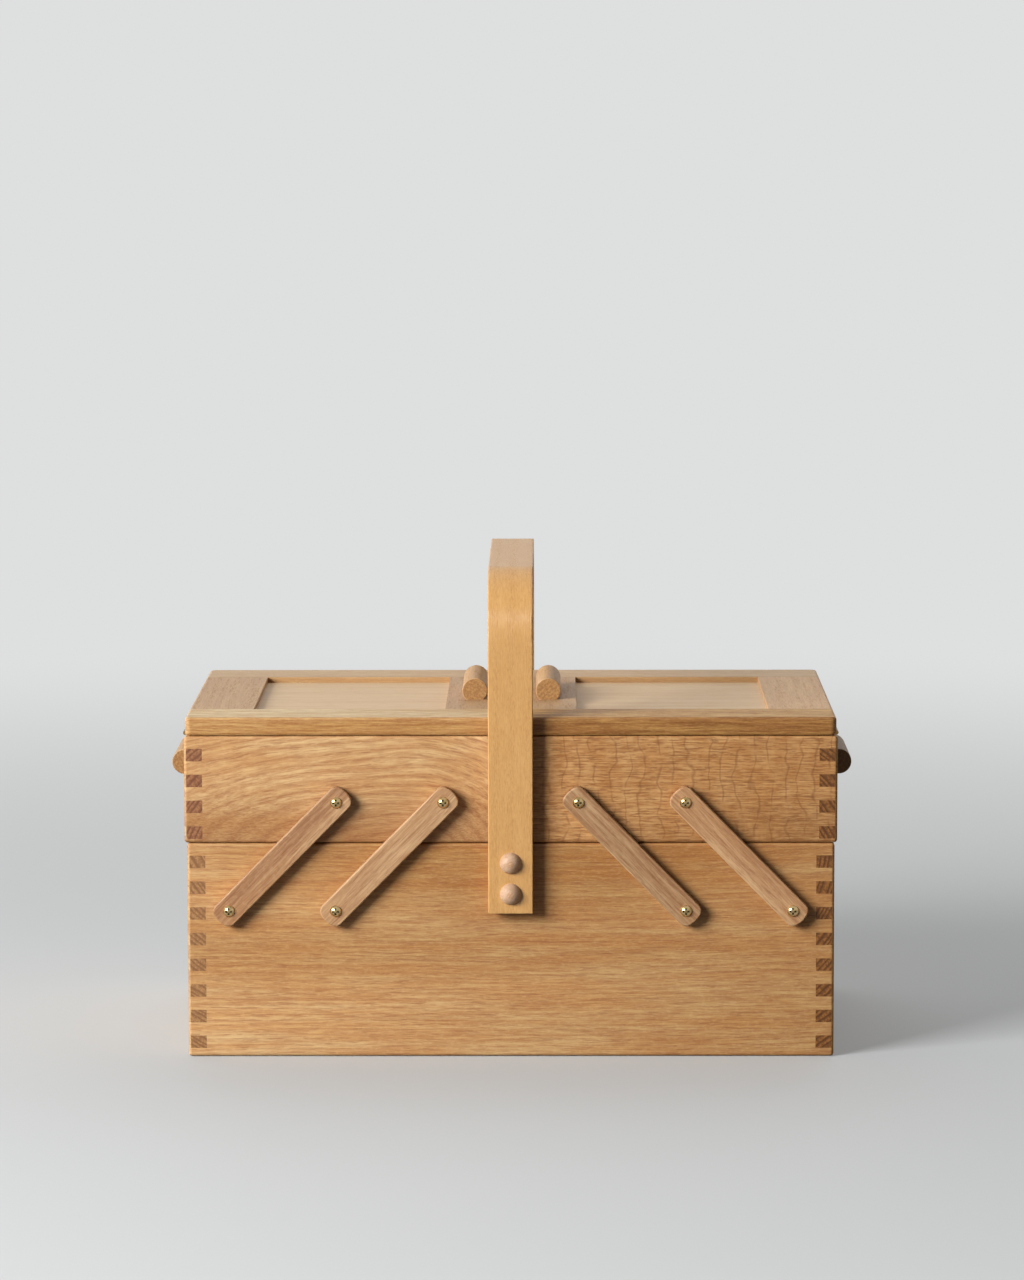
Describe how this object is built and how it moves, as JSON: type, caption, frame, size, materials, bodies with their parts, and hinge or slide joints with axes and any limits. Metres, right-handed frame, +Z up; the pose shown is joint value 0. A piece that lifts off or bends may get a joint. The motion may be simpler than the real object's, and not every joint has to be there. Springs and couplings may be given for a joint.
{
  "type": "sewing carrier with two lids",
  "caption": "Wooden sewing carrier: comb-jointed box with a fixed bent handle, trays that swing out on arms, and framed lids hinged at the ends.",
  "frame": {"origin": "on the floor under the middle of the box", "axes": "+Z up, -Y to the front, X along the length of the box, +X to the right seen from the front"},
  "size_m": [0.3522, 0.2248, 0.2474],
  "materials": {
    "oak": "oiled oak, planed and sanded",
    "oak_panel": "oiled oak panel, fine straight grain",
    "oak_arm": "oiled oak, eased edges",
    "beech": "steam-bent beech, clear lacquer",
    "birch_peg": "turned birch, bare",
    "plywood": "birch plywood",
    "oak_pull": "oiled oak, turned",
    "brass": "bright brass",
    "hinge_brass": "dull brass"
  },
  "bodies": {
    "box": {"box_front_board": "oak", "box_back_board": "oak", "box_left_board": "oak", "box_right_board": "oak", "box_base_panel": "plywood", "handle_strap": "beech", "handle_pads": "beech", "handle_pegs": "birch_peg", "box_pivot_screws": "brass", "box_pivot_washers": "brass"},
    "left_tray": {"left_tray_front_board": "oak", "left_tray_back_board": "oak", "left_tray_inner_board": "oak", "left_tray_outer_board": "oak", "left_tray_base_panel": "plywood", "left_tray_pull": "oak_pull", "left_tray_pull_screws": "brass", "left_tray_pivot_screws": "brass", "left_tray_pivot_washers": "brass", "left_tray_hinge_leaves": "hinge_brass", "left_tray_hinge_screws": "brass", "left_hinge_pins": "hinge_brass"},
    "left_lid": {"left_lid_front_rail": "oak", "left_lid_back_rail": "oak", "left_lid_inner_stile": "oak", "left_lid_outer_stile": "oak", "left_lid_panel": "oak_panel", "left_lid_pull": "oak_pull", "left_lid_pull_screws": "brass", "left_lid_hinge_leaves": "hinge_brass", "left_lid_hinge_screws": "brass"},
    "left_front_outer_arm": {"left_front_outer_arm": "oak_arm"},
    "left_front_inner_arm": {"left_front_inner_arm": "oak_arm"},
    "left_back_outer_arm": {"left_back_outer_arm": "oak_arm"},
    "left_back_inner_arm": {"left_back_inner_arm": "oak_arm"},
    "right_tray": {"right_tray_front_board": "oak", "right_tray_back_board": "oak", "right_tray_inner_board": "oak", "right_tray_outer_board": "oak", "right_tray_base_panel": "plywood", "right_tray_pull": "oak_pull", "right_tray_pull_screws": "brass", "right_tray_pivot_screws": "brass", "right_tray_pivot_washers": "brass", "right_tray_hinge_leaves": "hinge_brass", "right_tray_hinge_screws": "brass", "right_hinge_pins": "hinge_brass"},
    "right_lid": {"right_lid_front_rail": "oak", "right_lid_back_rail": "oak", "right_lid_inner_stile": "oak", "right_lid_outer_stile": "oak", "right_lid_panel": "oak_panel", "right_lid_pull": "oak_pull", "right_lid_pull_screws": "brass", "right_lid_hinge_leaves": "hinge_brass", "right_lid_hinge_screws": "brass"},
    "right_front_outer_arm": {"right_front_outer_arm": "oak_arm"},
    "right_front_inner_arm": {"right_front_inner_arm": "oak_arm"},
    "right_back_outer_arm": {"right_back_outer_arm": "oak_arm"},
    "right_back_inner_arm": {"right_back_inner_arm": "oak_arm"}
  },
  "joints": [
    {"name": "left_front_outer_arm_swing", "type": "hinge", "parent": "box", "child": "left_front_outer_arm", "pos_m": [-0.14245, -0.1058, 0.0757], "axis": [0, -1, 0], "range_deg": [0, 89]},
    {"name": "left_front_inner_arm_swing", "type": "hinge", "parent": "box", "child": "left_front_inner_arm", "pos_m": [-0.0885, -0.1058, 0.0757], "axis": [0, -1, 0], "range_deg": [0, 89]},
    {"name": "left_back_outer_arm_swing", "type": "hinge", "parent": "box", "child": "left_back_outer_arm", "pos_m": [-0.14245, 0.1058, 0.0757], "axis": [0, -1, 0], "range_deg": [0, 89]},
    {"name": "left_back_inner_arm_swing", "type": "hinge", "parent": "box", "child": "left_back_inner_arm", "pos_m": [-0.0885, 0.1058, 0.0757], "axis": [0, -1, 0], "range_deg": [0, 89]},
    {"name": "left_tray_level", "type": "hinge", "parent": "left_front_outer_arm", "child": "left_tray", "pos_m": [-0.08806, -0.1058, 0.13105], "axis": [0, -1, 0], "range_deg": [-89, 0]},
    {"name": "left_lid_hinge", "type": "hinge", "parent": "left_tray", "child": "left_lid", "pos_m": [-0.165, 0, 0.16405], "axis": [0, -1, 0], "range_deg": [0, 184]},
    {"name": "right_front_outer_arm_swing", "type": "hinge", "parent": "box", "child": "right_front_outer_arm", "pos_m": [0.14245, -0.1058, 0.0757], "axis": [0, 1, 0], "range_deg": [0, 89]},
    {"name": "right_front_inner_arm_swing", "type": "hinge", "parent": "box", "child": "right_front_inner_arm", "pos_m": [0.0885, -0.1058, 0.0757], "axis": [0, 1, 0], "range_deg": [0, 89]},
    {"name": "right_back_outer_arm_swing", "type": "hinge", "parent": "box", "child": "right_back_outer_arm", "pos_m": [0.14245, 0.1058, 0.0757], "axis": [0, 1, 0], "range_deg": [0, 89]},
    {"name": "right_back_inner_arm_swing", "type": "hinge", "parent": "box", "child": "right_back_inner_arm", "pos_m": [0.0885, 0.1058, 0.0757], "axis": [0, 1, 0], "range_deg": [0, 89]},
    {"name": "right_tray_level", "type": "hinge", "parent": "right_front_outer_arm", "child": "right_tray", "pos_m": [0.08806, -0.1058, 0.13105], "axis": [0, 1, 0], "range_deg": [-89, 0]},
    {"name": "right_lid_hinge", "type": "hinge", "parent": "right_tray", "child": "right_lid", "pos_m": [0.165, 0, 0.16405], "axis": [0, 1, 0], "range_deg": [0, 184]}
  ],
  "couplings": [
    {"joint": "left_front_inner_arm_swing", "follows": "left_front_outer_arm_swing", "ratio": 1},
    {"joint": "left_back_outer_arm_swing", "follows": "left_front_outer_arm_swing", "ratio": 1},
    {"joint": "left_back_inner_arm_swing", "follows": "left_front_outer_arm_swing", "ratio": 1},
    {"joint": "left_tray_level", "follows": "left_front_outer_arm_swing", "ratio": -1},
    {"joint": "right_front_inner_arm_swing", "follows": "right_front_outer_arm_swing", "ratio": 1},
    {"joint": "right_back_outer_arm_swing", "follows": "right_front_outer_arm_swing", "ratio": 1},
    {"joint": "right_back_inner_arm_swing", "follows": "right_front_outer_arm_swing", "ratio": 1},
    {"joint": "right_tray_level", "follows": "right_front_outer_arm_swing", "ratio": -1}
  ]
}
